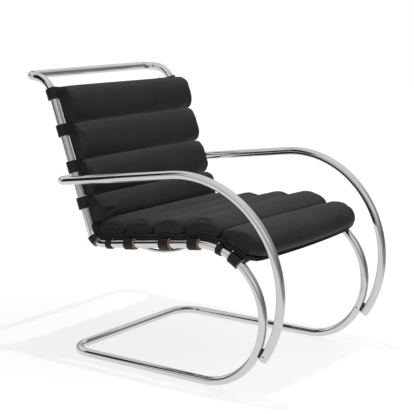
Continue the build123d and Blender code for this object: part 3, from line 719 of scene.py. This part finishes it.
def backing_mesh(part, first, last, half):
    """The flat layer under the rolls, two plies sewn together round the edge."""
    count = round((last - first) / BACKING_STEP)
    low, high = BACKING_HEIGHT, BACKING_HEIGHT + BACKING_THICK[part]
    middle = low + BACKING_THICK[part] / 2
    straight = half - PLY_ROUNDING

    def side(sign):
        """Up one side edge: each ply is rounded, and the seam between them is drawn in."""
        right = []
        for bottom, top in ((low, middle), (middle, high)):
            r = (top - bottom) / 2
            for t in np.linspace(-pi / 2, pi / 2, PLY_POINTS):
                right.append((straight + PLY_ROUNDING * cos(t), (bottom + top) / 2 + r * sin(t)))
        right[PLY_POINTS - 1] = right[PLY_POINTS] = (straight + PLY_SEAM, middle)
        return [(sign * x, h) for x, h in right]

    flat = np.linspace(straight, -straight, BACKING_ACROSS)[1:-1]
    section = side(1) + [(x, high) for x in flat] + side(-1)[::-1] + [(-x, low) for x in flat]
    section = np.array(section)
    x, s = np.meshgrid(section[:, 0], np.linspace(first, last, count))
    h = np.broadcast_to(section[:, 1][None, :], x.shape)
    points = placed(x, s, h).reshape(-1, 3)
    faces = ring_faces(count, len(section)) + end_faces(count, len(section))
    thread_points, thread_faces = stitches(first, last, half, (middle + high) / 2)
    thread_faces = [tuple(len(points) + j for j in face) for face in thread_faces]
    face_material = [0] * len(faces) + [1] * len(thread_faces)
    points = np.concatenate([points, placed(*thread_points.T)])
    obj = mesh_object(f"cushion_{part}_backing", points, faces + thread_faces,
                      [BACKING_LEATHER, THREAD], face_material)
    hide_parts(f"{part}_backing")
    return obj


backing_mesh("seat", CUSHION_FRONT, CUSHION_FOLD - PIECE_GAP, HALF_CUSHION)
back_backing = backing_mesh("back", CUSHION_FOLD + PIECE_GAP, CUSHION_TOP - TOP_SHORT, HALF_BACK_BACKING)

# the photograph's far arm is plain light grey, so polished metal doesn't mirror the black back
back_rolls = [roll for roll in rolls if roll.name.startswith("cushion_back")]
for obj in (*back_rolls, back_backing):
    obj.visible_glossy = False


# ---------------------------------------------------------------- CAD nodes that stay
NODE_MATERIALS = {
    CHROME: ("base_frame_tube", "upper_frame_tube", "arm_tube_left", "arm_tube_right",
             "arm_front_plugs", "arm_rear_plugs", "arm_rear_spacers", "seat_spreader_bar"),
    FASTENER: ("leg_joint_sleeves", "leg_joint_screws", "arm_front_screws", "arm_front_studs",
               "arm_rear_bolts"),
    RIVET: ("strap_rivets", "tie_rivets"),
    SPACER: ("arm_front_spacers",),
}
for material, nodes in NODE_MATERIALS.items():
    for node in nodes:
        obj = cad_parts[node]
        obj.data.materials.clear()
        obj.data.materials.append(material)


# ---------------------------------------------------------------- camera
def photo_camera():
    """The photograph's viewpoint, worked out from the tubes' edges in it."""
    azimuth, elevation, roll = radians(-55.69), radians(10.63), radians(0.737)
    target = Vector((5.1, -2.1, 443.1)) * MM
    distance = 3747
    back = Vector((sin(azimuth) * cos(elevation), -cos(azimuth) * cos(elevation), sin(elevation)))
    right = Vector((cos(azimuth), sin(azimuth), 0))
    up = back.cross(right)
    right, up = right * cos(roll) + up * sin(roll), up * cos(roll) - right * sin(roll)
    place = target + back * distance * MM
    data = bpy.data.cameras.new("photo_camera")
    data.sensor_width = 36.0
    data.lens = 106.1
    data.clip_end = 60
    camera = bpy.data.objects.new("photo_camera", data)
    camera.matrix_world = Matrix((
        (right.x, up.x, back.x, place.x), (right.y, up.y, back.y, place.y),
        (right.z, up.z, back.z, place.z), (0, 0, 0, 1)))
    bpy.context.collection.objects.link(camera)
    bpy.context.scene.camera = camera


# ---------------------------------------------------------------- studio, in metres
FLOOR_HALF = 9.0
PAPER = 0.8             # the floor's colour, as the object sees it
FLOOR_SHADE = 0.21      # how much of the lamps' shadow the camera sees on it
FLOOR_GLOW = 0.8        # the rest of what the camera sees, near the chair
GLOW_FADE = (0.7, 2.4)  # distances from the chair over which the floor turns plain white
DIM_SIDE = (0.42, -0.91, 0)         # towards the dim part of the room, in front on the right
FLOOR_DIMS = (0.8, 1.7, 0.85, 0.32)     # distances towards it, and the floor's brightness there
ROOM_DIMS = (0.45, 0.8, 1.0, 0.42)      # cosines of the angle to it, and the room's brightness
# brightness of the room by the sine of the elevation
ROOM = ((-1.0, 0.75), (-0.1, 0.75), (0.02, 0.42), (0.2, 0.36), (0.34, 0.6), (0.5, 0.9),
        (0.75, 0.65), (1.0, 0.85))
AMBIENT = 0.42
# name, place, target, size and power
LAMPS = (
    ("overhead_lamp", (-0.03, -0.08, 3.3), (-0.03, -0.08, 0), (0.09, 0.09), 50),
    ("key_softbox", (1.2, -2.2, 2.6), (0, 0, 0.4), (2.4, 1.8), 52),
    ("fill_softbox", (-2.4, -1.8, 1.8), (0, 0, 0.4), (2.0, 2.0), 9),
)
FLAG_CORNERS = ((-1.15, 0.75, 0.25), (-0.80, 0.95, 0.25), (-0.62, 0.80, 1.6), (-1.20, 0.5, 1.6))


def panel(name, corners):
    """A flat piece of the studio."""
    mesh = bpy.data.meshes.new(name)
    mesh.from_pydata(corners, [], [(0, 1, 2, 3)])
    obj = bpy.data.objects.new(name, mesh)
    bpy.context.collection.objects.link(obj)
    return obj


def floor():
    """Pale floor that catches the lamps' shadow and runs out into plain white further away."""
    size = FLOOR_HALF
    obj = panel("studio_floor", [(-size, -size, 0), (size, -size, 0), (size, size, 0), (-size, size, 0)])
    m = Nodes("white_floor")
    m.tree.nodes.remove(m.shader)
    path = m.add("ShaderNodeLightPath")
    paper = m.add("ShaderNodeBsdfDiffuse", Color=(PAPER, PAPER, PAPER, 1))
    # the camera sees the paper nearly white, with the lamps' shadow faint on it
    shown = m.add("ShaderNodeBsdfDiffuse", Color=(FLOOR_SHADE, FLOOR_SHADE, FLOOR_SHADE, 1))
    away = m.add("ShaderNodeVectorMath", operation="LENGTH")
    m.link(m.coords(), "Object", away, 0)
    glow = m.add("ShaderNodeEmission")
    m.link(m.fade(away, "Value", *GLOW_FADE, FLOOR_GLOW, 1.0), "Result", glow, "Strength")
    seen = m.add("ShaderNodeAddShader")
    m.link(shown, 0, seen, 0)
    m.link(glow, 0, seen, 1)
    both = m.add("ShaderNodeMixShader")
    m.link(path, "Is Camera Ray", both, "Fac")
    m.link(paper, 0, both, 1)
    m.link(seen, 0, both, 2)
    # polished metal sees the floor evenly lit, and dimmer where the paper ends in front
    forward = m.add("ShaderNodeVectorMath", operation="DOT_PRODUCT")
    forward.inputs[1].default_value = DIM_SIDE
    m.link(m.coords(), "Object", forward, 0)
    mirrored = m.add("ShaderNodeEmission")
    m.link(m.fade(forward, "Value", *FLOOR_DIMS), "Result", mirrored, "Strength")
    mix = m.add("ShaderNodeMixShader")
    m.link(path, "Is Glossy Ray", mix, "Fac")
    m.link(both, 0, mix, 1)
    m.link(mirrored, 0, mix, 2)
    m.link(mix, 0, m.output, "Surface")
    obj.data.materials.append(m.material)


def dark_flag():
    """A black panel beside the set, to the left and behind: only polished metal shows it, as the
    dark line along the tubes that face it."""
    obj = panel("studio_flag", FLAG_CORNERS)
    m = Nodes("black_felt")
    m.constants(Base_Color=(0.01, 0.01, 0.01, 1), Roughness=0.95)
    obj.data.materials.append(m.material)
    obj.visible_camera = obj.visible_diffuse = obj.visible_shadow = False
    obj.visible_transmission = obj.visible_volume_scatter = False


def lamp(name, place, target, size, power):
    data = bpy.data.lights.new(name, "AREA")
    data.shape = "RECTANGLE"
    data.size, data.size_y = size
    data.energy = power
    light = bpy.data.objects.new(name, data)
    light.location = place
    light.rotation_euler = (Vector(target) - Vector(place)).to_track_quat("-Z", "Y").to_euler()
    light.visible_glossy = False
    bpy.context.collection.objects.link(light)


def studio_world():
    """White to the camera, a bright room that is darker at eye level to polished metal, and plain
    soft light to everything else."""
    world = bpy.data.worlds.new("studio")
    bpy.context.scene.world = world
    world.use_nodes = True
    nodes, links = world.node_tree.nodes, world.node_tree.links
    nodes.clear()

    def add(kind, **inputs):
        node = nodes.new(kind)
        for key, value in inputs.items():
            node.inputs[key.replace("_", " ")].default_value = value
        return node

    coords = add("ShaderNodeTexCoord")
    parts = add("ShaderNodeSeparateXYZ")
    links.new(coords.outputs["Generated"], parts.inputs[0])
    spread = add("ShaderNodeMapRange", From_Min=-1, From_Max=1)
    links.new(parts.outputs["Z"], spread.inputs["Value"])
    ramp = add("ShaderNodeValToRGB")
    links.new(spread.outputs[0], ramp.inputs["Fac"])
    while len(ramp.color_ramp.elements) < len(ROOM):
        ramp.color_ramp.elements.new(0.5)
    for element, (sine, grey) in zip(ramp.color_ramp.elements, ROOM):
        element.position = (sine + 1) / 2
        element.color = (grey, grey, grey, 1)
    side = add("ShaderNodeVectorMath")
    side.operation = "DOT_PRODUCT"
    side.inputs[1].default_value = DIM_SIDE
    links.new(coords.outputs["Generated"], side.inputs[0])
    start, end, bright, dimmed = ROOM_DIMS
    dim = add("ShaderNodeMapRange", From_Min=start, From_Max=end, To_Min=bright, To_Max=dimmed)
    dim.interpolation_type = "SMOOTHSTEP"
    links.new(side.outputs["Value"], dim.inputs["Value"])
    room = add("ShaderNodeBackground")
    links.new(ramp.outputs["Color"], room.inputs["Color"])
    links.new(dim.outputs[0], room.inputs["Strength"])
    ambient = add("ShaderNodeBackground", Color=(1, 1, 1, 1), Strength=AMBIENT)
    white = add("ShaderNodeBackground", Color=(1, 1, 1, 1))
    path = add("ShaderNodeLightPath")
    mirrored = add("ShaderNodeMixShader")
    links.new(path.outputs["Is Glossy Ray"], mirrored.inputs["Fac"])
    links.new(ambient.outputs[0], mirrored.inputs[1])
    links.new(room.outputs[0], mirrored.inputs[2])
    mix = add("ShaderNodeMixShader")
    links.new(path.outputs["Is Camera Ray"], mix.inputs["Fac"])
    links.new(mirrored.outputs[0], mix.inputs[1])
    links.new(white.outputs[0], mix.inputs[2])
    links.new(mix.outputs[0], add("ShaderNodeOutputWorld").inputs["Surface"])


photo_camera()
floor()
dark_flag()
studio_world()
for values in LAMPS:
    lamp(*values)
bpy.context.scene.view_settings.view_transform = "Standard"
